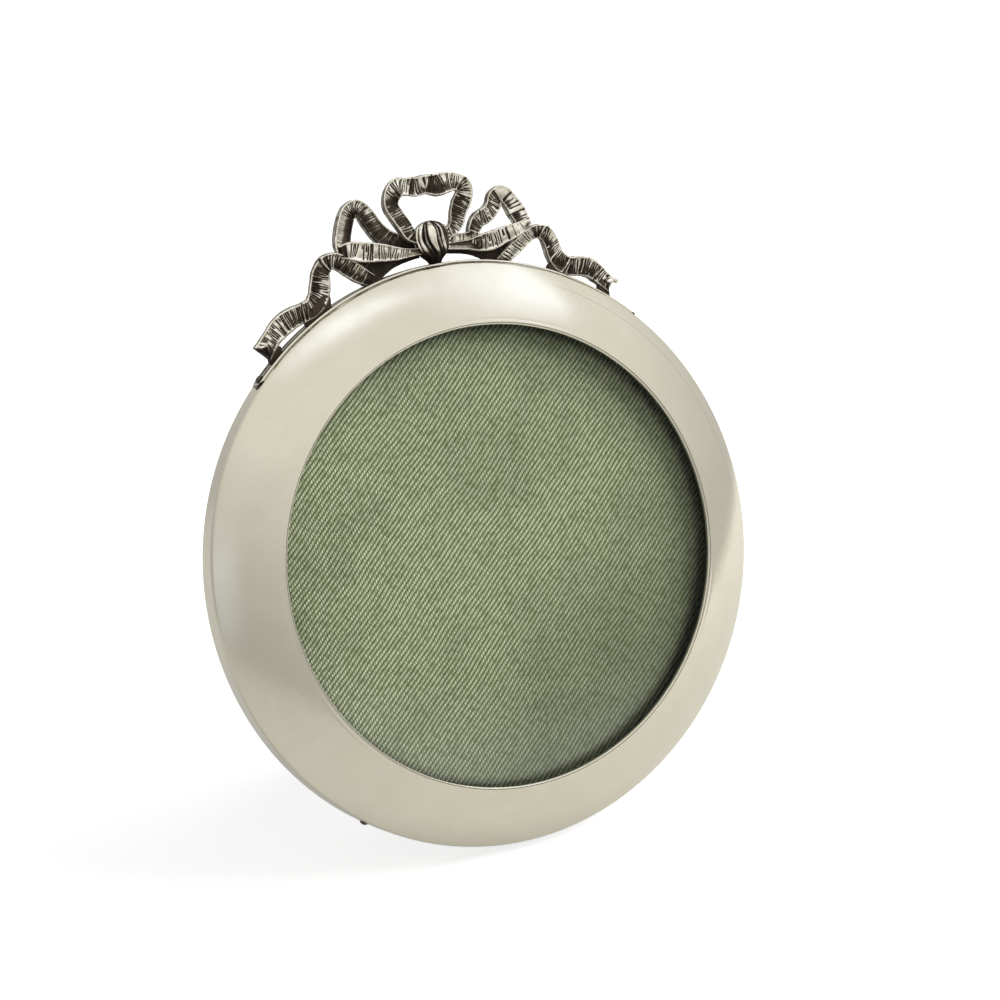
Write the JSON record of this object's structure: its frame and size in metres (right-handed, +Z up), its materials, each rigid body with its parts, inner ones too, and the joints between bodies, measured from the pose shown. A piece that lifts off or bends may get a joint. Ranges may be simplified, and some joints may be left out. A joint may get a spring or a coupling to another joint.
{
  "type": "round photo frame",
  "caption": "Round standing photo frame: plain silver ring with a cast ribbon-bow crest, glass over ribbed green silk, wooden back with a door held by turn-buttons and a hinged easel strut.",
  "frame": {"origin": "on the surface that the frame stands on, at the middle of its width and depth with the strut open", "axes": "+Z up, -Y towards the viewer in front of the picture, +X to the viewer's right; the disc leans back 21.6 degrees"},
  "size_m": [0.124, 0.0621, 0.1349],
  "materials": {
    "silver": "polished and worn silver",
    "cast_silver": "cast silver with darkened recesses",
    "walnut": "satin stained wood",
    "clear_glass": "clear",
    "corded_silk": "ribbed silk with a soft sheen",
    "card": "matt card",
    "brass": "worn brass",
    "steel": "dull steel pin"
  },
  "bodies": {
    "frame": {"silver_bezel": "silver", "back_ring": "walnut", "glass": "clear_glass", "mount_card": "card", "silk_cover": "corded_silk", "packing_card": "card", "back_door": "walnut", "turn_button_screws": "brass", "rim_pins": "cast_silver", "strut_hinge_plate": "brass", "strut_hinge_pin": "steel", "hinge_screws_door": "brass", "crest_band": "cast_silver", "ribbon_loop_top": "cast_silver", "ribbon_loop_left": "cast_silver", "ribbon_loop_right": "cast_silver", "ribbon_tail_left": "cast_silver", "ribbon_tail_right": "cast_silver", "ribbon_web_left": "cast_silver", "ribbon_web_right": "cast_silver", "bow_knot": "cast_silver"},
    "strut": {"easel_strut": "walnut", "strut_hinge_leaf": "brass", "hinge_screws_strut": "brass"},
    "button_top": {"turn_button_top": "brass"},
    "button_right": {"turn_button_right": "brass"},
    "button_left": {"turn_button_left": "brass"}
  },
  "joints": [
    {"name": "strut_hinge", "type": "hinge", "parent": "frame", "child": "strut", "pos_m": [0, 0.00823, 0.07565], "axis": [1, 0, 0], "range_deg": [-35, 0]},
    {"name": "button_top_turn", "type": "hinge", "parent": "frame", "child": "button_top", "pos_m": [0, 0.02102, 0.11095], "axis": [0, -0.9298, 0.3681], "continuous": true},
    {"name": "button_right_turn", "type": "hinge", "parent": "frame", "child": "button_right", "pos_m": [0.04407, -0.01376, 0.02308], "axis": [0, -0.9298, 0.3681], "continuous": true},
    {"name": "button_left_turn", "type": "hinge", "parent": "frame", "child": "button_left", "pos_m": [-0.04407, -0.01376, 0.02308], "axis": [0, -0.9298, 0.3681], "continuous": true}
  ]
}
